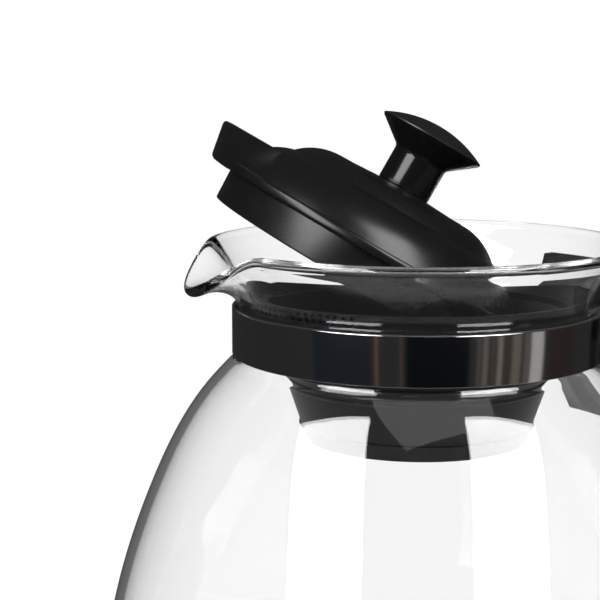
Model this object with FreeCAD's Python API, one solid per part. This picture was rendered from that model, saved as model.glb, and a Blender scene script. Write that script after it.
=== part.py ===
import FreeCAD, Part
import math
import os

# Glass teapot: blown pot with a pulled lip, clamped steel band and handle,
# a lift-out strainer insert and a loose lid that leans in the insert's mouth.
# Millimetres, +Z up. The origin is the centre of the base; the lip points
# along -X and the handle along +X.

V = FreeCAD.Vector
X_AXIS = V(1, 0, 0)
Y_AXIS = V(0, 1, 0)
Z_AXIS = V(0, 0, 1)
ORIGIN = V(0, 0, 0)

# Clearances
fit_gap = 0.1           # between pieces of one body
run_gap = 0.35          # between pieces that move apart

# Glass pot
glass_wall = 2.2
base_wall = 3.2
band_level = 117.0      # underside of the band above the base
neck_r = 43.6
shoulder_r = 52.0
shoulder_drop = 9.0     # drops are measured down from the band
flank_r = 65.3
flank_drop = 33.1
side_r = 74.3
side_drop = 60.5
belly_r = 77.0
belly_drop = 83.0
heel_r = 70.5
heel_drop = 106.0
foot_r = 55.0
collar_h = 15.8         # flared part above the band
rim_r = 50.4            # middle of the rim's glass
bead_r = 1.35
lip_reach = 6.0         # how far the pouring lip stands out past the rim
lip_droop = 8.6
lip_half_angle = 26.0
flare_power = 1.5
droop_power = 2.5
collar_sink = 1.5       # overlap of the flared wall with the neck

# Neck band, its liner and clamp
band_h = 11.4
band_t = 0.6
liner_t = 0.7
ear_gap = 5.0
ear_len = 8.0
ear_margin = 1.4
screw_r = 2.0
screw_head_r = 3.5
screw_head_h = 2.8
screw_len = 11.0
nut_flats = 7.0
nut_h = 3.2

# Handle
yoke_half_angle = 23.5
yoke_top = 19.5         # above the band's underside
yoke_skirt = 5.0        # below the band's underside
yoke_t = 5.0
yoke_stand_off = 1.2    # from the glass at the yoke's foot
yoke_round = 2.0
leg_drop = 22.0         # foot of the two legs that follow the shoulder, below the band
leg_t = 4.4
grip_w = 23.0
grip_t = 13.0
grip_reach = 113.0      # pot axis to the middle of the grip
grip_level = 9.0        # middle of the grip's root above the band's underside
grip_drop = 62.0
grip_bend_r = 24.0
grip_end_r = 5.0
pocket_half_w = 9.5
pocket_depth = 13.0
cap_t = 2.0

# Strainer insert
insert_wall = 1.6
rim_level = 15.5        # top of the insert above the band's underside
mouth_r = 40.5
rim_wall = 1.2
rim_t = 1.2
seat_r = 38.45
seat_level = 12.3
throat_r = 36.5
deck_t = 1.6
outer_wall_foot = 2.0
pour_half_angle = 50.0
pour_hole_r = 0.5
pour_hole_pitch = 1.9
pour_low_level = 13.1
pour_high_level = 14.6
sleeve_top_r = 34.3
sleeve_foot_r = 27.0
sleeve_len = 21.2
spigot_h = 2.5
rib_drops = (5.2, 8.0)
rib_h = 0.8
rib_out = 0.45
rib_flat = 0.4          # share of the rib's height that is flat
foot_ring_h = 3.7
foot_ring_t = 0.9
floor_t = 0.6
floor_lip = 1.6
floor_hole_r = 0.9
floor_hole_pitch = 3.6
seal_t = 1.0
seal_h = 3.0
seal_half_angle = 120.0

# Lid, drawn level with its flange's top at zero
flange_r = 40.0
flange_t = 2.4
dome_base_r = 38.2
step_r = 27.4
step_h = 9.1
crown_r = 15.7
crown_h = 13.3
top_h = 13.8
low_bulge = (0.36, 0.60)     # shares of the lower arc's width and height at its middle
high_bulge = (0.42, 0.76)    # the same for the upper arc
lid_wall = 1.8
tab_reach = 45.5
tab_foot_reach = 43.9
tab_top = 7.0
tab_half_angle = 17.0
tab_round = 1.2
skirt_r = 38.35
skirt_draft = 0.25
skirt_h = 7.6
plug_wall = 1.6
boss_r = 5.0
stem_r = 6.7
stem_h = 8.6
head_r = 13.2
cone_h = 5.0
cap_crown = 3.3
cap_edge = 0.5
cap_pin_r = 4.0
cap_pin_h = 2.5
knob_screw_r = 1.9
knob_screw_grip = 7.0
knob_screw_head_r = 3.6
knob_screw_head_h = 2.2

# Where the lid leans: the middle of its flange and its slope
lid_lean = 30.0
lid_turn = -12.0        # the lean's direction, from the handle's
lid_x = -10.7
lid_level = 27.5        # above the band's underside

# Values that follow from the sizes above
band_in_r = neck_r + liner_t + 2 * fit_gap
band_r = band_in_r + band_t
neck_in_r = neck_r - glass_wall
neck_top = band_level + band_h
collar_mid_r = neck_r - glass_wall / 2
collar_half_wall = glass_wall / 2 - fit_gap
insert_r = neck_in_r - run_gap
stem_top = top_h + stem_h
head_level = stem_top + cone_h
skirt_foot = flange_t + skirt_h


def save(name, shape):
    shape.exportStep(os.path.join("parts", name + ".step"))


def turned(points, angle=360.0):
    """Solid turned about Z from (radius, height) corners, centred on +X."""
    corners = [V(r, 0, z) for r, z in points]
    face = Part.Face(Part.makePolygon(corners + corners[:1]))
    solid = face.revolve(ORIGIN, Z_AXIS, angle)
    solid.rotate(ORIGIN, Z_AXIS, -angle / 2)
    return solid


def turned_edges(edges):
    """Solid turned about Z from edges that close a profile in the XZ plane."""
    return Part.Face(Part.Wire(edges)).revolve(ORIGIN, Z_AXIS, 360.0)


def ring(r_out, r_in, z0, z1):
    return turned([(r_in, z0), (r_out, z0), (r_out, z1), (r_in, z1)])


def rod(r, z0, z1):
    return Part.makeCylinder(r, z1 - z0, V(0, 0, z0))


def block(x0, x1, y0, y1, z0, z1):
    return Part.makeBox(x1 - x0, y1 - y0, z1 - z0, V(x0, y0, z0))


def line(a, b):
    return Part.LineSegment(V(a[0], 0, a[1]), V(b[0], 0, b[1])).toShape()


def arc(a, b, c):
    return Part.Arc(V(a[0], 0, a[1]), V(b[0], 0, b[1]), V(c[0], 0, c[1])).toShape()


def spline(points):
    curve = Part.BSplineCurve()
    curve.interpolate([V(r, 0, z) for r, z in points])
    return curve


# Glass pot

def body_outline():
    """Outer line of the pot from its foot up to the neck."""
    drops = [
        (foot_r, band_level),
        (heel_r, heel_drop),
        (belly_r, belly_drop),
        (side_r, side_drop),
        (flank_r, flank_drop),
        (shoulder_r, shoulder_drop),
        (neck_r, 0.0),
    ]
    return spline([(r, band_level - drop) for r, drop in drops])


def inner_outline(outer, count=15):
    """The same line moved in by the wall, cut level with the inside of the base."""
    points = []
    for i in range(count):
        u = outer.FirstParameter + (outer.LastParameter - outer.FirstParameter) * i / (count - 1)
        p = outer.value(u)
        t = outer.tangent(u)[0]
        points.append((p.x - glass_wall * t.z, p.z + glass_wall * t.x))
    raised = [(r, z) for r, z in points if z > 2 * base_wall]
    foot = (raised[0][0] - 2 * base_wall, base_wall)
    top = (neck_in_r, band_level)
    return spline([foot] + raised[:-1] + [top])


def pot_body():
    outer = body_outline()
    inner = inner_outline(outer)
    foot_in = inner.StartPoint
    edges = [
        line((0, 0), (foot_r, 0)),
        outer.toShape(),
        line((neck_r, band_level), (neck_r, neck_top)),
        line((neck_r, neck_top), (neck_in_r, neck_top)),
        line((neck_in_r, neck_top), (neck_in_r, band_level)),
        inner.toShape(),
        line((foot_in.x, foot_in.z), (0, foot_in.z)),
        line((0, foot_in.z), (0, 0)),
    ]
    return turned_edges(edges)


def lip_share(angle):
    """How much of the pouring lip a direction has: 1 at the lip, 0 past its sides."""
    off = abs(math.degrees(math.atan2(math.sin(angle - math.pi), math.cos(angle - math.pi))))
    if off >= lip_half_angle:
        return 0.0
    return math.cos(math.pi / 2 * off / lip_half_angle) ** 2


def collar_frame(angle, t):
    """Middle of the flared wall at height share t, with its tangent, as (r, z) pairs."""
    lip = lip_share(angle)
    spread = rim_r - collar_mid_r + lip_reach * lip
    rise = collar_h - bead_r
    droop = lip_droop * lip
    r = collar_mid_r + spread * t ** flare_power
    z = neck_top + rise * t - droop * t ** droop_power
    dr = spread * flare_power * t ** (flare_power - 1)
    dz = rise - droop_power * droop * t ** (droop_power - 1)
    size = math.hypot(dr, dz)
    return (r, z), (dr / size, dz / size)


def collar_ring(t, side, half):
    """Closed curve round the collar, half a wall out (side 1), in (-1) or past the rim (0)."""
    steps = 72
    points = []
    for i in range(steps):
        angle = 2 * math.pi * i / steps
        (r, z), (tr, tz) = collar_frame(angle, t)
        if side:
            r += side * half * tz
            z -= side * half * tr
        else:
            r += half * tr
            z += half * tz
        points.append(V(r * math.cos(angle), r * math.sin(angle), z))
    curve = Part.BSplineCurve()
    curve.interpolate(points, True)
    return Part.Wire(curve.toShape())


def pot_collar():
    """Flared wall with a rounded rim, sunk a little into the neck."""
    shares = (0.0, 0.25, 0.5, 0.75)
    wires = []
    for side in (1, -1):
        half_rings = [collar_ring(t, side, collar_half_wall) for t in shares]
        foot = half_rings[0].copy()
        foot.translate(V(0, 0, -collar_sink))
        half_rings.insert(0, foot)
        half_rings.append(collar_ring(1.0, side, bead_r))
        wires.append(half_rings)
    over_rim = collar_ring(1.0, 0, bead_r)
    order = wires[0] + [over_rim] + wires[1][::-1]
    wall = Part.makeLoft(order, False, False)
    under = Part.Face([order[0], order[-1]])
    shell = Part.Shell(wall.Faces + [under])
    shell.sewShape()
    solid = Part.Solid(shell)
    if solid.Volume < 0:
        solid.reverse()
    return solid


def glass_pot():
    return pot_body().fuse(pot_collar())


# Neck band, liner and clamp

clamp_x = band_r + ear_len / 2
clamp_z = band_level + band_h / 2


def cross_hole(radius, reach):
    """Cylinder along Y through the clamp's centre."""
    return Part.makeCylinder(radius, 2 * reach, V(clamp_x, -reach, clamp_z), Y_AXIS)


def neck_band():
    strip = ring(band_r, band_in_r, band_level, band_level + band_h)
    strip = strip.cut(block(0, band_r + 1, -ear_gap / 2, ear_gap / 2, band_level - 1, neck_top + 1))
    for side in (-1, 1):
        y0, y1 = sorted((side * ear_gap / 2, side * (ear_gap / 2 + band_t)))
        ear = block(
            band_in_r,
            band_r + ear_len,
            y0,
            y1,
            band_level + ear_margin,
            band_level + band_h - ear_margin,
        )
        strip = strip.fuse(ear)
    return strip.removeSplitter().cut(cross_hole(screw_r + fit_gap, ear_gap))


def band_liner():
    liner = ring(neck_r + fit_gap + liner_t, neck_r + fit_gap, band_level, band_level + band_h)
    return liner.cut(block(0, band_r, -ear_gap / 2, ear_gap / 2, band_level - 1, neck_top + 1))


ear_face = ear_gap / 2 + band_t


def clamp_screw():
    head = Part.makeCylinder(screw_head_r, screw_head_h, V(clamp_x, ear_face, clamp_z), Y_AXIS)
    tail = ear_face - screw_len
    shank = Part.makeCylinder(screw_r, screw_len + screw_head_h / 2, V(clamp_x, tail, clamp_z), Y_AXIS)
    return head.fuse(shank).removeSplitter()


def clamp_nut():
    corner_r = nut_flats / math.sqrt(3)
    corners = []
    for i in range(7):
        a = math.radians(60 * i)
        corners.append(V(clamp_x + corner_r * math.cos(a), -ear_face, clamp_z + corner_r * math.sin(a)))
    nut = Part.Face(Part.makePolygon(corners)).extrude(V(0, -nut_h, 0))
    return nut.cut(cross_hole(screw_r + fit_gap / 2, screw_len))


# Handle

def glass_r(height):
    """Outside of the pot's flared wall at a height above the base, away from the lip."""
    t = (height - neck_top) / (collar_h - bead_r)
    return collar_mid_r + (rim_r - collar_mid_r) * t ** flare_power + glass_wall


pocket_x0 = band_in_r
pocket_x1 = band_r + pocket_depth
yoke_foot_z = band_level - yoke_skirt
yoke_top_z = band_level + yoke_top
yoke_in_r = band_r + fit_gap
yoke_foot_r = neck_r + yoke_skirt * (shoulder_r - neck_r) / shoulder_drop + yoke_stand_off
leg_foot_z = band_level - leg_drop


def body_r(level):
    """Outer radius of the pot's body at a level, found by halving."""
    outline = body_outline()
    low, high = outline.FirstParameter, outline.LastParameter
    for _ in range(40):
        middle = (low + high) / 2
        if outline.value(middle).z < level:
            low = middle
        else:
            high = middle
    return outline.value(low).x


def yoke():
    """Saddle on the band and the collar, with a leg down the shoulder on each side of the clamp."""
    top_in_r = max(glass_r(yoke_top_z) + fit_gap, yoke_in_r)
    out_r = max(top_in_r, yoke_foot_r - yoke_round) + yoke_t
    leg_foot_r = body_r(leg_foot_z) + yoke_stand_off
    saddle = turned(
        [
            (yoke_in_r, band_level - fit_gap),
            (yoke_foot_r, yoke_foot_z),
            (shoulder_r + yoke_stand_off, band_level - shoulder_drop),
            (leg_foot_r, leg_foot_z),
            (leg_foot_r + leg_t, leg_foot_z),
            (out_r, yoke_foot_z),
            (out_r, yoke_top_z - yoke_round),
            (out_r - yoke_round, yoke_top_z),
            (top_in_r, yoke_top_z),
            (yoke_in_r, neck_top),
        ],
        2 * yoke_half_angle,
    )
    notch = block(0, leg_foot_r + 2 * leg_t, -grip_w / 2, grip_w / 2, leg_foot_z - leg_t, yoke_foot_z)
    return saddle.cut(notch)


def grip():
    """Rounded bar that leaves the yoke level, bends down and ends free."""
    z = band_level + grip_level
    root = yoke_in_r + yoke_t
    bend = grip_bend_r
    corner = V(grip_reach, 0, z)
    mid = V(grip_reach - bend * (1 - math.sqrt(0.5)), 0, z - bend * (1 - math.sqrt(0.5)))
    path = Part.Wire(
        [
            Part.LineSegment(V(root, 0, z), corner - X_AXIS * bend).toShape(),
            Part.Arc(corner - X_AXIS * bend, mid, corner - Z_AXIS * bend).toShape(),
            Part.LineSegment(corner - Z_AXIS * bend, corner - Z_AXIS * grip_drop).toShape(),
        ]
    )
    section = Part.makePlane(grip_w, grip_t, V(root, -grip_w / 2, z - grip_t / 2), X_AXIS, Y_AXIS)
    outline = section.OuterWire
    bar = Part.BRepOffsetAPI.MakePipeShell(path)
    bar.add(outline)
    bar.build()
    bar.makeSolid()
    solid = bar.shape()
    long_edges = [e for e in solid.Edges if e.Length > grip_bend_r]
    return solid.makeFillet(grip_end_r, long_edges)


def handle_pocket():
    return block(
        pocket_x0,
        pocket_x1,
        -pocket_half_w,
        pocket_half_w,
        yoke_foot_z - 1,
        neck_top - fit_gap,
    )


def handle():
    root = block(
        yoke_in_r + yoke_t / 2,
        pocket_x1 + cap_t,
        -grip_w / 2,
        grip_w / 2,
        yoke_foot_z,
        band_level + grip_level + grip_t / 2,
    )
    keep = turned(
        [
            (yoke_in_r, band_level - fit_gap),
            (yoke_foot_r, yoke_foot_z),
            (grip_reach, yoke_foot_z),
            (grip_reach, yoke_top_z),
            (yoke_in_r, yoke_top_z),
        ]
    )
    moulding = yoke().fuse(root.common(keep)).fuse(grip()).removeSplitter()
    return moulding.cut(handle_pocket())


def handle_cap():
    return block(
        yoke_foot_r + fit_gap + yoke_round,
        pocket_x1 - fit_gap,
        -pocket_half_w + fit_gap,
        pocket_half_w - fit_gap,
        yoke_foot_z,
        yoke_foot_z + cap_t,
    )


# Strainer insert

seat_z = band_level + seat_level
rim_z = band_level + rim_level


def insert_collar():
    inner_foot = sleeve_top_r - insert_wall
    deck = seat_z - deck_t
    body = turned(
        [
            (inner_foot, band_level),
            (throat_r, deck),
            (throat_r, seat_z),
            (seat_r, seat_z),
            (mouth_r, rim_z),
            (mouth_r + rim_wall, rim_z),
            (mouth_r + rim_wall, rim_z - rim_t),
            (insert_r, seat_z),
            (insert_r, band_level + outer_wall_foot),
            (insert_r - insert_wall, band_level + outer_wall_foot),
            (insert_r - insert_wall, deck),
            (throat_r + insert_wall, deck),
            (sleeve_top_r, band_level),
        ]
    )
    opening = turned(
        [
            (throat_r + insert_wall, band_level),
            (rim_r, band_level),
            (rim_r, deck - insert_wall),
            (throat_r + insert_wall, deck - insert_wall),
        ],
        2 * pour_half_angle,
    )
    opening.rotate(ORIGIN, Z_AXIS, 180)
    groove = ring(insert_r + 1, insert_r - seal_t, seal_z, seal_z + seal_h)
    return body.cut(opening).cut(groove).cut(pour_holes())


def pour_holes():
    """Rows of strainer holes through the rim's wall, over the lip's side."""
    count = int(math.radians(pour_half_angle) * mouth_r / pour_hole_pitch)
    holes = []
    for level in (pour_low_level, pour_high_level):
        for i in range(-count, count + 1):
            a = math.pi + i * pour_hole_pitch / mouth_r
            out = V(math.cos(a), math.sin(a), 0)
            start = out * throat_r + Z_AXIS * (band_level + level)
            holes.append(Part.makeCylinder(pour_hole_r, rim_r - throat_r, start, out))
    return Part.makeCompound(holes)


seal_z = band_level + band_h / 2 - seal_h / 2


def neck_seal():
    """Soft strip in the insert's outer wall, open towards the lip."""
    outer = insert_r + fit_gap / 2
    inner = insert_r - seal_t + fit_gap
    z0 = seal_z + fit_gap
    z1 = seal_z + seal_h - fit_gap
    return turned([(inner, z0), (outer, z0), (outer, z1), (inner, z1)], 2 * seal_half_angle)


def sleeve_r(drop):
    """Outside of the tapered sleeve at a drop below the band's underside."""
    return sleeve_top_r + (sleeve_foot_r - sleeve_top_r) * drop / sleeve_len


ring_drop = sleeve_len - foot_ring_h
floor_drop = sleeve_len - 2 * floor_t


def insert_sleeve():
    inner_top = sleeve_top_r - insert_wall
    foot_in = sleeve_r(floor_drop) - foot_ring_t - insert_wall
    z = band_level
    points = [
        (inner_top - insert_wall, z),
        (inner_top - insert_wall, z + spigot_h),
        (inner_top - fit_gap, z + spigot_h),
        (inner_top - fit_gap, z),
        (sleeve_top_r, z),
    ]
    for drop in rib_drops:
        points += [
            (sleeve_r(drop - rib_h), z - drop + rib_h),
            (sleeve_r(drop - rib_h / 2) + rib_out, z - drop + rib_h * (1 + rib_flat) / 2),
            (sleeve_r(drop - rib_h / 2) + rib_out, z - drop + rib_h * (1 - rib_flat) / 2),
            (sleeve_r(drop), z - drop),
        ]
    points += [
        (sleeve_r(ring_drop), z - ring_drop),
        (sleeve_r(ring_drop) - foot_ring_t, z - ring_drop),
        (sleeve_r(floor_drop) - foot_ring_t, z - floor_drop),
        (foot_in, z - floor_drop),
    ]
    return turned(points)


def foot_ring():
    z = band_level
    lip_in = sleeve_r(sleeve_len) - foot_ring_t - insert_wall - floor_lip
    return turned(
        [
            (sleeve_r(ring_drop) - foot_ring_t + fit_gap, z - ring_drop - fit_gap),
            (sleeve_r(ring_drop) + rib_out, z - ring_drop - fit_gap),
            (sleeve_r(sleeve_len) + rib_out, z - sleeve_len),
            (lip_in, z - sleeve_len),
            (lip_in, z - sleeve_len + floor_t - fit_gap),
            (sleeve_r(floor_drop) - foot_ring_t + fit_gap, z - sleeve_len + floor_t - fit_gap),
            (sleeve_r(floor_drop) - foot_ring_t + fit_gap, z - floor_drop),
        ]
    )


def floor_sieve():
    """Round sieve plate held between the sleeve and the foot ring."""
    z0 = band_level - sleeve_len + floor_t
    plate_r = sleeve_r(floor_drop) - foot_ring_t
    plate = rod(plate_r, z0, band_level - floor_drop)
    field_r = sleeve_r(sleeve_len) - foot_ring_t - insert_wall - floor_lip - 2 * floor_hole_r
    holes = []
    rows = int(field_r / floor_hole_pitch)
    for row in range(rows + 1):
        count = max(1, 6 * row)
        for i in range(count):
            a = 2 * math.pi * i / count
            r = row * floor_hole_pitch
            at = V(r * math.cos(a), r * math.sin(a), z0 - 1)
            holes.append(Part.makeCylinder(floor_hole_r, floor_t + 2, at))
    return plate.cut(Part.makeCompound(holes))


# Lid

def lid_place(shape):
    """Leans a level lid piece to where it rests in the insert's mouth."""
    shape.rotate(ORIGIN, Y_AXIS, lid_lean)
    shape.translate(V(lid_x, 0, band_level + lid_level))
    shape.rotate(ORIGIN, Z_AXIS, lid_turn)
    return shape


plug_top = -flange_t
plug_deck = plug_top - plug_wall
screw_hole_r = knob_screw_r + fit_gap


def dome_edges(shrink):
    """Two stepped arcs of the lid's dome, moved in by a wall where shrink is set."""
    base = (dome_base_r - shrink, 0.0)
    low_r = dome_base_r - shrink - (dome_base_r - step_r) * low_bulge[0]
    low = (low_r, (step_h - shrink) * low_bulge[1])
    step = (step_r - shrink, step_h - shrink)
    high_r = step_r - shrink - (step_r - crown_r) * high_bulge[0]
    high = (high_r, step_h - shrink + (crown_h - step_h) * high_bulge[1])
    crown = (crown_r, crown_h - shrink)
    return [arc(base, low, step), arc(step, high, crown)], base, crown


def lid_shell():
    outer, base, crown = dome_edges(0.0)
    solid = turned_edges(
        [
            line((0, -flange_t), (flange_r - flange_t / 4, -flange_t)),
            arc(
                (flange_r - flange_t / 4, -flange_t),
                (flange_r, -flange_t / 2),
                (flange_r - flange_t / 4, 0),
            ),
            line((flange_r - flange_t / 4, 0), base),
            *outer,
            line(crown, (stem_r, top_h)),
            line((stem_r, top_h), (0, top_h)),
            line((0, top_h), (0, -flange_t)),
        ]
    )
    inner, in_base, in_crown = dome_edges(lid_wall)
    ceiling = crown_h - lid_wall
    hollow = turned_edges(
        [
            line((boss_r, -flange_t), (in_base[0], -flange_t)),
            line((in_base[0], -flange_t), in_base),
            *inner,
            line(in_crown, (boss_r, ceiling)),
            line((boss_r, ceiling), (boss_r, -flange_t)),
        ]
    )
    bore = rod(screw_hole_r, -flange_t - 1, top_h + 1)
    return solid.fuse(lid_tab()).removeSplitter().cut(hollow).cut(bore)


def lid_tab():
    """Raised thumb tab over the lip, with a rounded crown and foot."""
    tab = turned(
        [
            (dome_base_r - 2 * lid_wall, -flange_t),
            (tab_foot_reach - flange_t / 2, -flange_t),
            (tab_foot_reach, -flange_t / 2),
            (tab_reach, tab_top - tab_round),
            (tab_reach - tab_round, tab_top),
            (step_r + lid_wall, tab_top),
        ],
        2 * tab_half_angle,
    )
    tab.rotate(ORIGIN, Z_AXIS, 180)
    return tab


def lid_plug():
    foot = -skirt_foot
    body = turned(
        [
            (0, plug_deck),
            (skirt_r - plug_wall, plug_deck),
            (skirt_r - skirt_draft - plug_wall, foot),
            (skirt_r - skirt_draft, foot),
            (skirt_r, plug_top),
            (0, plug_top),
        ]
    )
    return body.cut(rod(screw_hole_r, plug_deck - 1, plug_top + 1))


def knob_stem():
    """Glossy post that opens into a cone under the cap."""
    body = turned(
        [
            (0, top_h),
            (stem_r, top_h),
            (stem_r, stem_top),
            (head_r, head_level),
            (0, head_level),
        ]
    )
    hole = rod(knob_screw_r + fit_gap / 2, top_h - 1, top_h + knob_screw_grip + 1)
    recess = rod(cap_pin_r + fit_gap, head_level - cap_pin_h - fit_gap, head_level + 1)
    return body.cut(hole).cut(recess)


def knob_cap():
    top = head_level + cap_edge + cap_crown
    ball_r = (head_r ** 2 + cap_crown ** 2) / (2 * cap_crown)
    half_way = top - ball_r + math.sqrt(ball_r ** 2 - (head_r / 2) ** 2)
    dome = turned_edges(
        [
            line((0, head_level - cap_pin_h), (cap_pin_r, head_level - cap_pin_h)),
            line((cap_pin_r, head_level - cap_pin_h), (cap_pin_r, head_level)),
            line((cap_pin_r, head_level), (head_r, head_level)),
            line((head_r, head_level), (head_r, head_level + cap_edge)),
            arc((head_r, head_level + cap_edge), (head_r / 2, half_way), (0, top)),
            line((0, top), (0, head_level - cap_pin_h)),
        ]
    )
    return dome


def knob_screw():
    head = rod(knob_screw_head_r, plug_deck - knob_screw_head_h, plug_deck)
    shank = rod(knob_screw_r, plug_deck - knob_screw_head_h / 2, top_h + knob_screw_grip)
    return head.fuse(shank).removeSplitter()


os.makedirs("parts", exist_ok=True)

for make in (
    glass_pot,
    neck_band,
    band_liner,
    clamp_screw,
    clamp_nut,
    handle,
    handle_cap,
    insert_collar,
    neck_seal,
    insert_sleeve,
    foot_ring,
    floor_sieve,
):
    save(make.__name__, make())

for make in (lid_shell, lid_plug, knob_stem, knob_cap, knob_screw):
    save(make.__name__, lid_place(make()))
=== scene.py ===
import math

import bmesh
import bpy
import numpy as np
from mathutils import Matrix, Quaternion, Vector


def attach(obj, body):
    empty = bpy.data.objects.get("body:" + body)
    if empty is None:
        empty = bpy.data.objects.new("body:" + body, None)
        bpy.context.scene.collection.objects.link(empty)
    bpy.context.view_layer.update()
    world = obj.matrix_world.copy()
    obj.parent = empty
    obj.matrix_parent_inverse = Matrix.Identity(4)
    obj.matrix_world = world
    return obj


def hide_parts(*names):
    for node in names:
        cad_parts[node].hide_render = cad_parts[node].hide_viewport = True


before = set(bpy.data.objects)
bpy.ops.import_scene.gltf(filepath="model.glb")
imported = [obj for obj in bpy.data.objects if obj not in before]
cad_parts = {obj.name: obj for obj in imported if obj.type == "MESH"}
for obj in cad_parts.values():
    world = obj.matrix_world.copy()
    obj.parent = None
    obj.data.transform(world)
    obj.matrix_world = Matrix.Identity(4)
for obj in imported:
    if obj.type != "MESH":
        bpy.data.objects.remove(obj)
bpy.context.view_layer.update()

# Sizes are in millimetres in the part's frame: base centre at the origin,
# lip along -X, handle along +X. MM turns them into the scene's metres.
MM = 0.001

# Glass pot, its body as radius and drop below the band's foot, from the base up
BAND_LEVEL = 117.0
BAND_H = 11.4
NECK_R = 43.6
GLASS_WALL = 2.2
BASE_WALL = 3.2
BODY_DROPS = [
    (55.0, BAND_LEVEL),
    (70.5, 106.0),
    (77.0, 83.0),
    (74.3, 60.5),
    (65.3, 33.1),
    (52.0, 9.0),
    (NECK_R, 0.0),
]
INNER_FOOT_TOP = 2 * BASE_WALL
INNER_FOOT_MID = 1.3 * BASE_WALL
INNER_FOOT_RUN = 3 * BASE_WALL
COLLAR_H = 15.8
RIM_R = 50.4
BEAD_R = 1.35
BEAD_START = 0.75           # share of the flare's length above which the wall thickens to the bead
LIP_REACH = 6.0
LIP_DROOP = 8.6
LIP_HALF_ANGLE = 26.0
FLARE_POWER = 1.5
DROOP_POWER = 2.5
NECK_TOP = BAND_LEVEL + BAND_H
COLLAR_MID_R = NECK_R - GLASS_WALL / 2

# Band
BAND_IN_R = 44.5
BAND_R = 45.1
BAND_EDGE = 0.12
BAND_SPLIT = 5.0

# Insert
SLEEVE_TOP_R = 34.3
SLEEVE_FOOT_R = 27.0
SLEEVE_LEN = 21.2
SLEEVE_EDGE = 0.2
INSERT_WALL = 1.6
RIB_COUNT = 2
RIB_DROP = 4.8
RIB_PITCH = 2.8
RIB_OUT = 0.45
FOOT_RING_H = 3.7
FOOT_RING_T = 0.9
FLOOR_T = 0.6

# Lid, level with its flange's top at zero, then leaned and turned
LID_LEAN = 30.0
LID_TURN = -12.0
LID_X = -10.7
LID_LEVEL = 27.5
FLANGE_R = 40.0
FLANGE_T = 2.4
FLANGE_EDGE = 0.9
DOME_BASE_R = 38.2
STEP_R = 27.4
STEP_H = 9.1
CROWN_R = 15.7
CROWN_H = 13.3
TOP_H = 13.8
DOME_BULGE = (0.36, 0.60)   # where each dome's arc passes, as shares of its width and height
CROWN_BULGE = (0.42, 0.76)
TAB_REACH = 45.5
TAB_FOOT_REACH = 43.9
TAB_TOP = 7.0
TAB_HALF_ANGLE = 17.0
TAB_EDGE = 1.2
TAB_FOOT_ROOT = 3.6         # how far the tab runs into the flange and the dome
TAB_TOP_ROOT = 1.8
TAB_LIFT = 0.1
SKIRT_R = 38.35
SKIRT_DRAFT = 0.25
SKIRT_H = 7.6
SKIRT_EDGE = 0.4
PLUG_WALL = 1.6
PLUG_EDGE = 0.6
STEM_R = 6.7
STEM_H = 8.6
STEM_EDGE = 0.3
STEM_HOLLOW = 0.8
HEAD_R = 13.2
HEAD_EDGE = 0.3
CONE_H = 5.0
CAP_CROWN = 3.3
CAP_EDGE = 0.5
CAP_BEVEL = 0.3
CAP_BEVEL_H = 0.2

# Fineness of the meshes
BODY_STEPS = 56
FLARE_STEPS = 24
BEAD_STEPS = 10
GLASS_TURN_STEPS = 240
TURN_STEPS = 192
TAB_TURN_STEPS = 24
RIB_RING_POINTS = 192
RIB_SECTION_POINTS = 12
MERGE_MM = 1e-4
ROUNDING_SHARE = 0.45       # most that a rounding takes of the side next to it

# Camera, found by fitting the photo's band, rim and lid
CAMERA_AT = (-144.53, -357.73, 188.89)
CAMERA_LOOK = (0.3014, 0.9412, -0.1527)
LENS_MM = 95.96
SENSOR_MM = 36.0
CLIP_START = 0.01


def linear(code):
    """Linear colour of an sRGB hex code."""
    values = [int(code[i:i + 2], 16) / 255 for i in (0, 2, 4)]
    return tuple(v / 12.92 if v <= 0.04045 else ((v + 0.055) / 1.055) ** 2.4 for v in values) + (1.0,)


def add(tree, kind, inputs=None, **settings):
    """Adds a node with its settings, values and links."""
    node = tree.nodes.new(kind)
    for key, value in settings.items():
        setattr(node, key, value)
    for key, value in (inputs or {}).items():
        socket = node.inputs[key]
        if isinstance(value, bpy.types.NodeSocket):
            tree.links.new(value, socket)
        else:
            socket.default_value = value
    return node


def new_material(name):
    material = bpy.data.materials.new(name)
    material.use_nodes = True
    material.node_tree.nodes.clear()
    return material, material.node_tree


NOISE_DETAIL = 4.0
BUMP_STRENGTH = 0.5


def surface(name, code, roughness, grain, depth, stretch=(1, 1, 1), spread=0.04, **more):
    """Principled surface whose grain, in mm, moves its roughness and its height."""
    material, tree = new_material(name)
    coords = add(tree, "ShaderNodeTexCoord")
    mapping = add(tree, "ShaderNodeMapping", {"Vector": coords.outputs["Object"], "Scale": stretch})
    noise = add(
        tree,
        "ShaderNodeTexNoise",
        {"Vector": mapping.outputs["Vector"], "Scale": 1 / (grain * MM), "Detail": NOISE_DETAIL},
    )
    rough = add(
        tree,
        "ShaderNodeMapRange",
        {"Value": noise.outputs["Fac"], "To Min": roughness - spread, "To Max": roughness + spread},
    )
    bump = add(
        tree,
        "ShaderNodeBump",
        {"Height": noise.outputs["Fac"], "Strength": BUMP_STRENGTH, "Distance": depth * MM},
    )
    shader = add(
        tree,
        "ShaderNodeBsdfPrincipled",
        {
            "Base Color": linear(code),
            "Roughness": rough.outputs["Result"],
            "Normal": bump.outputs["Normal"],
            **more,
        },
    )
    add(tree, "ShaderNodeOutputMaterial", {"Surface": shader.outputs["BSDF"]})
    return material


# Blown borosilicate: clear, with the faint waves that blowing leaves in a wall
glass = surface(
    "borosilicate_glass_blown",
    "FFFFFF",
    roughness=0.0,
    grain=30.0,
    depth=0.02,
    spread=0.0,
    **{"Transmission Weight": 1.0, "IOR": 1.47},
)
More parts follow.
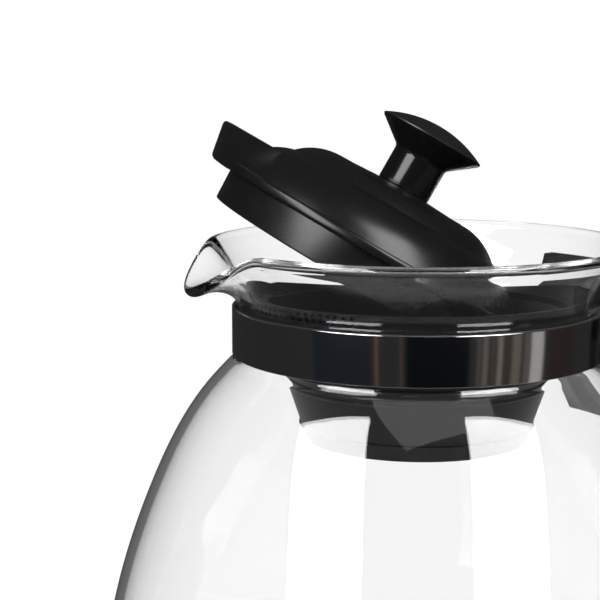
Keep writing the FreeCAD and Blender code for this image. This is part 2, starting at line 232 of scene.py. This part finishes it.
# Polished strip: a mirror with a hint of the buffing lines along it
polished_steel = surface(
    "stainless_steel_polished",
    "C9C9CB",
    roughness=0.09,
    grain=0.4,
    depth=0.002,
    stretch=(1, 1, 14),
    spread=0.02,
    Metallic=1.0,
)
# Turned and plated screws: grey with a soft sheen
plain_steel = surface(
    "steel_zinc_plated", "A5A6A8", roughness=0.32, grain=0.6, depth=0.004, Metallic=1.0
)
# Gloss moulding of the knob's stem: near-black with sharp highlights and faint mould ripple
gloss_black = surface(
    "abs_gloss_moulded_black",
    "0A0A0B",
    roughness=0.13,
    grain=9.0,
    depth=0.006,
    **{"Specular IOR Level": 0.25},
)
# Semi-gloss moulding of the lid: near-black, with highlights that fade out softly
lid_black = surface(
    "abs_semigloss_moulded_black",
    "0A0A0B",
    roughness=0.27,
    grain=6.0,
    depth=0.006,
    **{"Specular IOR Level": 0.25},
)
# Satin moulding of the handle: a fine spark-eroded grain that spreads the highlights,
# drawn coarser than it is, because the real one is too fine to show
satin_black = surface(
    "polypropylene_satin_moulded_black",
    "0D0D0E",
    roughness=0.36,
    grain=0.35,
    depth=0.01,
    **{"Specular IOR Level": 0.3},
)
# Matt moulding of the strainer: flatter and a little greyer than the lid, its grain drawn coarser too
matt_black = surface(
    "polypropylene_matt_moulded_black",
    "0C0C0D",
    roughness=0.42,
    grain=0.4,
    depth=0.012,
    **{"Specular IOR Level": 0.25},
)
# Soft strips: dull, with no highlight to speak of
rubber = surface("silicone_rubber_moulded_black", "141414", roughness=0.7, grain=0.8, depth=0.01)


def circle_arc(a, m, b, steps=14):
    """Points of the arc from a to b through m."""
    (ax, ay), (mx, my), (bx, by) = a, m, b
    d = 2 * (ax * (my - by) + mx * (by - ay) + bx * (ay - my))
    a2, m2, b2 = ax * ax + ay * ay, mx * mx + my * my, bx * bx + by * by
    cx = (a2 * (my - by) + m2 * (by - ay) + b2 * (ay - my)) / d
    cy = (a2 * (bx - mx) + m2 * (ax - bx) + b2 * (mx - ax)) / d
    start = math.atan2(ay - cy, ax - cx)
    turn_m = (math.atan2(my - cy, mx - cx) - start) % math.tau
    turn_b = (math.atan2(by - cy, bx - cx) - start) % math.tau
    if turn_m > turn_b:
        turn_b -= math.tau
    radius = math.hypot(ax - cx, ay - cy)
    angles = [start + turn_b * i / steps for i in range(steps + 1)]
    return [(cx + radius * math.cos(t), cy + radius * math.sin(t)) for t in angles]


def rounded(corners, steps=4):
    """Profile whose corners (r, z, radius) are rounded off; a radius of 0 stays sharp."""
    points = []
    count = len(corners)
    for i, (r, z, radius) in enumerate(corners):
        here = Vector((r, z))
        if radius == 0:
            points.append((r, z))
            continue
        to_last = Vector(corners[i - 1][:2]) - here
        to_next = Vector(corners[(i + 1) % count][:2]) - here
        cut = min(radius, ROUNDING_SHARE * to_last.length, ROUNDING_SHARE * to_next.length)
        first = here + to_last.normalized() * cut
        last = here + to_next.normalized() * cut
        for k in range(steps + 1):
            t = k / steps
            p = first * (1 - t) ** 2 + here * 2 * t * (1 - t) + last * t * t
            points.append((p.x, p.y))
    return points


def enter_piece(name, mesh, body, nodes):
    """Puts a mesh in the scene as a piece that rides on a body, and hides the CAD nodes whose place it
    takes.
    """
    piece = bpy.data.objects.new(name, mesh)
    bpy.context.scene.collection.objects.link(piece)
    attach(piece, body)
    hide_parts(*nodes)


def finish_mesh(name, bm, body, material, nodes, place=Matrix(), sharp=35.0):
    """Turns a bmesh in mm into a piece, with edges past the sharp angle left hard."""
    bmesh.ops.remove_doubles(bm, verts=bm.verts, dist=MERGE_MM)
    bmesh.ops.recalc_face_normals(bm, faces=bm.faces)
    bmesh.ops.transform(bm, matrix=Matrix.Scale(MM, 4) @ place, verts=bm.verts)
    mesh = bpy.data.meshes.new(name)
    bm.to_mesh(mesh)
    bm.free()
    mesh.shade_smooth()
    mesh.set_sharp_from_angle(angle=math.radians(sharp))
    mesh.materials.append(material)
    enter_piece(name, mesh, body, nodes)


def revolve(profile_at, start=0.0, sweep=360.0, steps=TURN_STEPS):
    """Mesh from a profile that may change with the angle; open sweeps get end faces."""
    bm = bmesh.new()
    whole = sweep >= 360.0
    rings = []
    for i in range(steps if whole else steps + 1):
        angle = math.radians(start + sweep * i / steps)
        ring = [bm.verts.new((r * math.cos(angle), r * math.sin(angle), z)) for r, z in profile_at(angle)]
        rings.append(ring)
    count = len(rings[0])
    for i in range(steps):
        a, b = rings[i], rings[(i + 1) % len(rings)]
        for j in range(count):
            k = (j + 1) % count
            bm.faces.new((a[j], b[j], b[k], a[k]))
    if not whole:
        bm.faces.new(rings[0])
        bm.faces.new(rings[-1][::-1])
    return bm


def turned(profile, **sweep):
    return revolve(lambda angle: profile, **sweep)


# Glass pot: the same outline and lip formula as the solid, in a finer mesh


def cubic(points, count):
    """Natural cubic spline through points, as (point, tangent) pairs."""
    p = np.array(points)
    s = np.concatenate([[0], np.cumsum(np.hypot(*np.diff(p, axis=0).T))])
    n = len(p)
    h = np.diff(s)
    matrix = np.eye(n)
    right = np.zeros((n, 2))
    for i in range(1, n - 1):
        matrix[i, i - 1:i + 2] = h[i - 1], 2 * (h[i - 1] + h[i]), h[i]
        right[i] = 6 * ((p[i + 1] - p[i]) / h[i] - (p[i] - p[i - 1]) / h[i - 1])
    bend = np.linalg.solve(matrix, right)
    out = []
    for u in np.linspace(0, s[-1], count):
        i = min(int(np.searchsorted(s, u, side="right")) - 1, n - 2)
        a, b = s[i + 1] - u, u - s[i]
        slope = (p[i + 1] - p[i]) / h[i] - h[i] * (bend[i + 1] - bend[i]) / 6
        tangent = slope + (bend[i + 1] * b * b - bend[i] * a * a) / (2 * h[i])
        value = (bend[i] * a ** 3 + bend[i + 1] * b ** 3) / (6 * h[i])
        value = value + (p[i] / h[i] - bend[i] * h[i] / 6) * a
        value = value + (p[i + 1] / h[i] - bend[i + 1] * h[i] / 6) * b
        out.append((value, tangent / np.hypot(*tangent)))
    return out


body_line = cubic([(r, BAND_LEVEL - drop) for r, drop in BODY_DROPS], BODY_STEPS)
body_outer = [(p[0], p[1]) for p, t in body_line]
body_inner = [(p[0] - GLASS_WALL * t[1], p[1] + GLASS_WALL * t[0]) for p, t in body_line]
body_inner = [(r, z) for r, z in body_inner if z > INNER_FOOT_TOP]
inner_foot = circle_arc(
    body_inner[0],
    (body_inner[0][0] - BASE_WALL, INNER_FOOT_MID),
    (body_inner[0][0] - INNER_FOOT_RUN, BASE_WALL),
)


def lip_share(angle):
    """How far the lip is pulled at an angle: 1 in its middle and 0 beside it."""
    off = abs(math.degrees(math.remainder(angle - math.pi, math.tau)))
    if off >= LIP_HALF_ANGLE:
        return 0.0
    return math.cos(math.pi / 2 * off / LIP_HALF_ANGLE) ** 2


def glass_profile(angle):
    """Outline of the wall at an angle: up the outside, over the bead and down the inside."""
    lip = lip_share(angle)
    spread = RIM_R - COLLAR_MID_R + LIP_REACH * lip
    rise = COLLAR_H - BEAD_R
    outside, inside = [], []
    for i in range(FLARE_STEPS + 1):
        t = i / FLARE_STEPS
        r = COLLAR_MID_R + spread * t ** FLARE_POWER
        z = NECK_TOP + rise * t - LIP_DROOP * lip * t ** DROOP_POWER
        dr = spread * FLARE_POWER * t ** (FLARE_POWER - 1)
        dz = rise - LIP_DROOP * lip * DROOP_POWER * t ** (DROOP_POWER - 1)
        size = math.hypot(dr, dz)
        dr, dz = dr / size, dz / size
        thicker = max(0.0, (t - BEAD_START) / (1 - BEAD_START)) ** 2
        half = GLASS_WALL / 2 + (BEAD_R - GLASS_WALL / 2) * thicker
        outside.append((r + half * dz, z - half * dr))
        inside.append((r - half * dz, z + half * dr))
    over = []
    for i in range(1, BEAD_STEPS):
        a = math.pi * i / BEAD_STEPS
        out, along = BEAD_R * math.cos(a), BEAD_R * math.sin(a)
        over.append((r + out * dz + along * dr, z - out * dr + along * dz))
    line = [(0.0, 0.0)] + body_outer + outside + over + inside[::-1]
    return line + body_inner[::-1] + inner_foot + [(0.0, BASE_WALL)]


pot_mesh = revolve(glass_profile, steps=GLASS_TURN_STEPS)
finish_mesh("pot_glass", pot_mesh, "pot", glass, ["glass_pot"], sharp=60.0)

# Neck band with rolled edges, split under the handle
split = math.degrees(BAND_SPLIT / 2 / BAND_R)
band_profile = rounded(
    [
        (BAND_IN_R, BAND_LEVEL, 0),
        (BAND_R, BAND_LEVEL, BAND_EDGE),
        (BAND_R, NECK_TOP, BAND_EDGE),
        (BAND_IN_R, NECK_TOP, 0),
    ]
)
band_mesh = turned(band_profile, start=split, sweep=360 - 2 * split)
finish_mesh("neck_band_strip", band_mesh, "pot", polished_steel, ["neck_band"])

# Strainer sleeve, stepped in for its foot ring, and the ribs round it


def sleeve_r(drop):
    return SLEEVE_TOP_R + (SLEEVE_FOOT_R - SLEEVE_TOP_R) * drop / SLEEVE_LEN


def sleeve_profile():
    ring_drop = SLEEVE_LEN - FOOT_RING_H
    floor_drop = SLEEVE_LEN - 2 * FLOOR_T
    foot_r = sleeve_r(floor_drop) - FOOT_RING_T
    return rounded(
        [
            (SLEEVE_TOP_R - INSERT_WALL, BAND_LEVEL, 0),
            (SLEEVE_TOP_R, BAND_LEVEL, 0),
            (sleeve_r(ring_drop), BAND_LEVEL - ring_drop, SLEEVE_EDGE),
            (sleeve_r(ring_drop) - FOOT_RING_T, BAND_LEVEL - ring_drop, 0),
            (foot_r, BAND_LEVEL - floor_drop, 0),
            (foot_r - INSERT_WALL, BAND_LEVEL - floor_drop, 0),
        ]
    )


sleeve_mesh = turned(sleeve_profile())
finish_mesh("strainer_sleeve", sleeve_mesh, "insert", matt_black, ["insert_sleeve"])


def rib_tree():
    """Rings one below the other on a cone, each with a round section."""
    tree = bpy.data.node_groups.new("sleeve_ribs", "GeometryNodeTree")
    sockets = tree.interface
    sockets.new_socket("Geometry", in_out="OUTPUT", socket_type="NodeSocketGeometry")
    sockets.new_socket("Count", in_out="INPUT", socket_type="NodeSocketInt")
    for name in ("Level", "Pitch", "Radius", "Taper", "Section Radius"):
        sockets.new_socket(name, in_out="INPUT", socket_type="NodeSocketFloat")
    sockets.new_socket("Material", in_out="INPUT", socket_type="NodeSocketMaterial")
    given = add(tree, "NodeGroupInput").outputs
    top = add(tree, "ShaderNodeCombineXYZ", {"Z": given["Level"]})
    fall = add(tree, "ShaderNodeMath", {0: given["Pitch"], 1: -1.0}, operation="MULTIPLY")
    step = add(tree, "ShaderNodeCombineXYZ", {"Z": fall.outputs["Value"]})
    places = add(
        tree,
        "GeometryNodeMeshLine",
        {
            "Count": given["Count"],
            "Start Location": top.outputs["Vector"],
            "Offset": step.outputs["Vector"],
        },
    )
    number = add(tree, "GeometryNodeInputIndex")
    loss = add(
        tree,
        "ShaderNodeMath",
        {0: number.outputs["Index"], 1: given["Taper"]},
        operation="MULTIPLY",
    )
    radius = add(
        tree,
        "ShaderNodeMath",
        {0: given["Radius"], 1: loss.outputs["Value"]},
        operation="SUBTRACT",
    )
    size = add(
        tree,
        "ShaderNodeCombineXYZ",
        {"X": radius.outputs["Value"], "Y": radius.outputs["Value"], "Z": 1.0},
    )
    ring = add(
        tree,
        "GeometryNodeCurvePrimitiveCircle",
        {"Resolution": RIB_RING_POINTS, "Radius": 1.0},
    )
    rings = add(
        tree,
        "GeometryNodeInstanceOnPoints",
        {
            "Points": places.outputs["Mesh"],
            "Instance": ring.outputs["Curve"],
            "Scale": size.outputs["Vector"],
        },
    )
    lines = add(tree, "GeometryNodeRealizeInstances", {"Geometry": rings.outputs["Instances"]})
    section = add(
        tree,
        "GeometryNodeCurvePrimitiveCircle",
        {"Resolution": RIB_SECTION_POINTS, "Radius": given["Section Radius"]},
    )
    ribs = add(
        tree,
        "GeometryNodeCurveToMesh",
        {"Curve": lines.outputs["Geometry"], "Profile Curve": section.outputs["Curve"]},
    )
    real = add(tree, "GeometryNodeRealizeInstances", {"Geometry": ribs.outputs["Mesh"]})
    painted = add(
        tree,
        "GeometryNodeSetMaterial",
        {"Geometry": real.outputs["Geometry"], "Material": given["Material"]},
    )
    add(tree, "NodeGroupOutput", {"Geometry": painted.outputs["Geometry"]})
    return tree


def grown_mesh(name, tree, values):
    """Plain mesh of what a tree makes from its named inputs."""
    holder = bpy.data.objects.new(name + "_holder", bpy.data.meshes.new(name + "_holder"))
    bpy.context.scene.collection.objects.link(holder)
    modifier = holder.modifiers.new(name, "NODES")
    modifier.node_group = tree
    for item in tree.interface.items_tree:
        if item.in_out == "INPUT":
            modifier[item.identifier] = values[item.name]
    graph = bpy.context.evaluated_depsgraph_get()
    mesh = bpy.data.meshes.new_from_object(holder.evaluated_get(graph))
    bpy.data.objects.remove(holder)
    mesh.name = name
    return mesh


rib_mesh = grown_mesh(
    "sleeve_ribs",
    rib_tree(),
    {
        "Count": RIB_COUNT,
        "Level": (BAND_LEVEL - RIB_DROP) * MM,
        "Pitch": RIB_PITCH * MM,
        "Radius": sleeve_r(RIB_DROP) * MM,
        "Taper": (sleeve_r(0) - sleeve_r(RIB_PITCH)) * MM,
        "Section Radius": RIB_OUT * MM,
        "Material": matt_black,
    },
)
rib_mesh.shade_smooth()
enter_piece("sleeve_ribs", rib_mesh, "insert", ["insert_sleeve"])

# Lid: stepped dome on a flange, a tab, a plug and a knob
lid_turn = Matrix.Rotation(math.radians(LID_TURN), 4, "Z")
lid_lean = Matrix.Rotation(math.radians(LID_LEAN), 4, "Y")
lid_place = lid_turn @ Matrix.Translation((LID_X, 0, BAND_LEVEL + LID_LEVEL)) @ lid_lean


def dome_arc(low, high, bulge):
    """Arc from the low to the high point, through shares of the way in and the way up."""
    (low_r, low_z), (high_r, high_z) = low, high
    middle = (low_r - bulge[0] * (low_r - high_r), low_z + bulge[1] * (high_z - low_z))
    return circle_arc(low, middle, high)


flange = rounded(
    [
        (0.0, -FLANGE_T, 0),
        (FLANGE_R, -FLANGE_T, FLANGE_EDGE),
        (FLANGE_R, 0.0, FLANGE_EDGE),
        (DOME_BASE_R, 0.0, 0),
    ]
)
dome = dome_arc((DOME_BASE_R, 0.0), (STEP_R, STEP_H), DOME_BULGE)
dome += dome_arc((STEP_R, STEP_H), (CROWN_R, CROWN_H), CROWN_BULGE)[1:]
dome_mesh = turned(flange + dome + [(STEM_R, TOP_H), (0.0, TOP_H)])
finish_mesh("lid_dome", dome_mesh, "lid", lid_black, ["lid_shell"], lid_place, sharp=25.0)

tab_foot = -FLANGE_T + TAB_LIFT
tab_profile = rounded(
    [
        (DOME_BASE_R - TAB_FOOT_ROOT, tab_foot, 0),
        (TAB_FOOT_REACH, tab_foot, TAB_EDGE),
        (TAB_REACH, TAB_TOP, TAB_EDGE),
        (STEP_R + TAB_TOP_ROOT, TAB_TOP, 0),
    ]
)
tab_mesh = turned(
    tab_profile, start=180 - TAB_HALF_ANGLE, sweep=2 * TAB_HALF_ANGLE, steps=TAB_TURN_STEPS
)
finish_mesh("lid_tab", tab_mesh, "lid", lid_black, ["lid_shell"], lid_place, sharp=30.0)

skirt_foot = -FLANGE_T - SKIRT_H
plug_deck = -FLANGE_T - PLUG_WALL
plug = rounded(
    [
        (0.0, plug_deck, 0),
        (SKIRT_R - PLUG_WALL, plug_deck, PLUG_EDGE),
        (SKIRT_R - SKIRT_DRAFT - PLUG_WALL, skirt_foot, SKIRT_EDGE),
        (SKIRT_R - SKIRT_DRAFT, skirt_foot, SKIRT_EDGE),
        (SKIRT_R, -FLANGE_T, 0),
        (0.0, -FLANGE_T, 0),
    ]
)
finish_mesh("lid_skirt", turned(plug), "lid", lid_black, ["lid_plug"], lid_place)

stem_top = TOP_H + STEM_H
head_level = stem_top + CONE_H
stem = rounded(
    [
        (0.0, TOP_H, 0),
        (STEM_R, TOP_H, STEM_EDGE),
        (STEM_R, stem_top, STEM_HOLLOW),
        (HEAD_R, head_level, HEAD_EDGE),
        (0.0, head_level, 0),
    ]
)
finish_mesh("knob_post", turned(stem), "lid", gloss_black, ["knob_stem"], lid_place)

cap_ball = (HEAD_R ** 2 + CAP_CROWN ** 2) / (2 * CAP_CROWN)
cap_top = head_level + CAP_EDGE + CAP_CROWN
cap_half = cap_top - cap_ball + math.sqrt(cap_ball ** 2 - (HEAD_R / 2) ** 2)
cap = [(0.0, head_level), (HEAD_R - CAP_BEVEL, head_level), (HEAD_R, head_level + CAP_BEVEL_H)]
cap += circle_arc((HEAD_R, head_level + CAP_EDGE), (HEAD_R / 2, cap_half), (0.0, cap_top))
finish_mesh("knob_crown", turned(cap), "lid", satin_black, ["knob_cap"], lid_place)

# CAD nodes that are shown as they are
CAD_LOOKS = {
    "band_liner": rubber,
    "clamp_screw": plain_steel,
    "clamp_nut": plain_steel,
    "handle": satin_black,
    "handle_cap": satin_black,
    "insert_collar": matt_black,
    "neck_seal": rubber,
    "foot_ring": matt_black,
    "floor_sieve": plain_steel,
    "knob_screw": plain_steel,
}
for node, material in CAD_LOOKS.items():
    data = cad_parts[node].data
    data.materials.clear()
    data.materials.append(material)

# Studio, in metres: white all round for the camera and straight through the glass,
# dark for reflections, which are left to the two side softboxes and the strips
scene = bpy.context.scene
WHITE = linear("FFFFFF")
FLOOR_SIZE = 6.0
REFLECTED_GREY = 0.03
# What light that was turned back inside the glass meets outside, past one wall or past more
GLASS_EDGE_GREY = 0.18
GLASS_FAR_GREY = 0.6
# Counts of a ray's turns lie below or above these
ONE_WALL_DEPTH = 3.5
NOT_SENT_DEPTH = 0.5
GLASS_BOUNCES = 64          # light runs far inside the thick base and the bead


def seen_by_camera(tree):
    """1 for rays from the camera, straight or through glass, and 0 for those that a surface sent."""
    path = add(tree, "ShaderNodeLightPath")
    seen = add(
        tree,
        "ShaderNodeMath",
        {0: path.outputs["Is Camera Ray"], 1: path.outputs["Is Transmission Ray"]},
        operation="MAXIMUM",
    )
    sent = add(
        tree,
        "ShaderNodeMath",
        {0: path.outputs["Glossy Depth"], 1: path.outputs["Diffuse Depth"]},
        operation="ADD",
    )
    straight = add(
        tree,
        "ShaderNodeMath",
        {0: sent.outputs["Value"], 1: NOT_SENT_DEPTH},
        operation="LESS_THAN",
    )
    both = add(
        tree,
        "ShaderNodeMath",
        {0: seen.outputs["Value"], 1: straight.outputs["Value"]},
        operation="MULTIPLY",
    )
    return both.outputs["Value"]


world = bpy.data.worlds.new("studio")
scene.world = world
world.use_nodes = True
tree = world.node_tree
tree.nodes.clear()
path = add(tree, "ShaderNodeLightPath")
more_walls = add(
    tree,
    "ShaderNodeMath",
    {0: path.outputs["Transmission Depth"], 1: ONE_WALL_DEPTH},
    operation="GREATER_THAN",
)
grey = add(
    tree,
    "ShaderNodeMath",
    {0: more_walls.outputs["Value"], 1: GLASS_FAR_GREY - GLASS_EDGE_GREY, 2: GLASS_EDGE_GREY},
    operation="MULTIPLY_ADD",
)
turned_back = add(
    tree,
    "ShaderNodeMath",
    {0: path.outputs["Is Transmission Ray"], 1: grey.outputs["Value"]},
    operation="MULTIPLY",
)
unseen = add(
    tree,
    "ShaderNodeMath",
    {0: turned_back.outputs["Value"], 1: REFLECTED_GREY},
    operation="MAXIMUM",
)
strength = add(
    tree,
    "ShaderNodeMath",
    {0: unseen.outputs["Value"], 1: seen_by_camera(tree)},
    operation="MAXIMUM",
)
sky = add(tree, "ShaderNodeBackground", {"Color": WHITE, "Strength": strength.outputs["Value"]})
add(tree, "ShaderNodeOutputWorld", {"Surface": sky.outputs["Background"]})

# Floor: pale paper to the lamps, plain white to the camera
floor_paint, tree = new_material("floor_paper_white")
pale = add(tree, "ShaderNodeBsdfDiffuse", {"Color": linear("E7E7E7")})
lit = add(tree, "ShaderNodeEmission", {"Color": WHITE})
mix = add(
    tree,
    "ShaderNodeMixShader",
    {0: seen_by_camera(tree), 1: pale.outputs["BSDF"], 2: lit.outputs["Emission"]},
)
add(tree, "ShaderNodeOutputMaterial", {"Surface": mix.outputs["Shader"]})
bpy.ops.mesh.primitive_plane_add(size=FLOOR_SIZE)
floor = bpy.context.object
floor.name = "floor"
floor.data.materials.append(floor_paint)
floor.visible_glossy = False
floor.visible_transmission = False

# Lamps and strips stand round the pot's neck; their azimuths count from VIEW_AZIMUTH off the front
POT_MIDDLE = Vector((0, 0, BAND_LEVEL)) * MM
VIEW_AZIMUTH = -12.0


def toward(azimuth, elevation, distance):
    """Place at a distance from the pot's neck, and the direction to it."""
    a, e = math.radians(VIEW_AZIMUTH + azimuth), math.radians(elevation)
    way = Vector((math.sin(a) * math.cos(e), -math.cos(a) * math.cos(e), math.sin(e)))
    return POT_MIDDLE + way * distance, way


def softbox(name, azimuth, elevation, distance, roll, width, height, radiance):
    """Panel that faces the pot, rolled in its own plane, as bright as a reflection shows it."""
    place, way = toward(azimuth, elevation, distance)
    data = bpy.data.lights.new(name, "AREA")
    data.shape = "RECTANGLE"
    data.size = width
    data.size_y = height
    data.energy = radiance * math.pi * width * height
    lamp = bpy.data.objects.new(name, data)
    lamp.location = place
    lamp.rotation_mode = "QUATERNION"
    spin = Quaternion((0, 0, 1), math.radians(roll))
    lamp.rotation_quaternion = (-way).to_track_quat("-Z", "Y") @ spin
    scene.collection.objects.link(lamp)
    return lamp


PANEL_AZIMUTH = -8.5
PANEL_ASIDE = 46.0
PANEL_ELEVATION = 36.0
PANEL_DISTANCE = 1.0
PANEL_ROLL = 27.0
PANEL_W = 0.52
PANEL_H = 1.0
PANEL_RADIANCE = 13.0
for name, side in (("softbox_left", -1), ("softbox_right", 1)):
    softbox(
        name,
        azimuth=PANEL_AZIMUTH + side * PANEL_ASIDE,
        elevation=PANEL_ELEVATION,
        distance=PANEL_DISTANCE,
        roll=-side * PANEL_ROLL,
        width=PANEL_W,
        height=PANEL_H,
        radiance=PANEL_RADIANCE,
    )
top_lamp = softbox(
    "softbox_top",
    azimuth=20,
    elevation=82,
    distance=1.2,
    roll=0.0,
    width=0.9,
    height=0.9,
    radiance=1.5,
)
top_lamp.visible_glossy = False

# Strips that the polished band mirrors, as azimuth from, to, colour and radiance
STRIPS = [
    (-72, -36, "4A5560", 0.22),
    (-33.8, -32.0, "B08A6A", 0.35),
    (-19.4, -18.2, "B08A6A", 0.25),
    (-16, 20, "3A3E46", 0.12),
    (24.5, 26.5, "9A9088", 0.3),
    (28, 31, "B5A89C", 0.35),
    (33, 35, "8A7E74", 0.3),
    (37, 40, "C8BCB0", 0.4),
    (41, 45, "6F665E", 0.3),
    (46, 52, "A89C90", 0.4),
    (54, 58, "8E8880", 0.4),
    (59, 68, "E6E0DA", 0.6),
    (72, 94, "6E625A", 0.2),
]
STRIP_DISTANCE = 0.6
STRIP_LOW = -0.4
STRIP_HIGH = 0.02
for number, (az0, az1, code, radiance) in enumerate(STRIPS):
    paint, tree = new_material("card_%d" % number)
    glow = add(tree, "ShaderNodeEmission", {"Color": linear(code), "Strength": radiance})
    add(tree, "ShaderNodeOutputMaterial", {"Surface": glow.outputs["Emission"]})
    corners = []
    for az, height in ((az0, STRIP_LOW), (az1, STRIP_LOW), (az1, STRIP_HIGH), (az0, STRIP_HIGH)):
        foot, _ = toward(az, 0, STRIP_DISTANCE)
        corners.append(foot + Vector((0, 0, height)))
    mesh = bpy.data.meshes.new("strip_%d" % number)
    mesh.from_pydata(corners, [], [(0, 1, 2, 3)])
    mesh.materials.append(paint)
    strip = bpy.data.objects.new("strip_%d" % number, mesh)
    scene.collection.objects.link(strip)
    strip.visible_camera = False
    strip.visible_transmission = False
    strip.visible_shadow = False
    strip.visible_diffuse = False

camera_data = bpy.data.cameras.new("photo_camera")
camera_data.lens = LENS_MM
camera_data.sensor_width = SENSOR_MM
camera_data.clip_start = CLIP_START
camera = bpy.data.objects.new("photo_camera", camera_data)
camera.location = Vector(CAMERA_AT) * MM
camera.rotation_mode = "QUATERNION"
camera.rotation_quaternion = Vector(CAMERA_LOOK).to_track_quat("-Z", "Y")
scene.collection.objects.link(camera)
scene.camera = camera
scene.view_settings.view_transform = "Standard"
scene.cycles.max_bounces = GLASS_BOUNCES
scene.cycles.transmission_bounces = GLASS_BOUNCES
scene.cycles.glossy_bounces = GLASS_BOUNCES
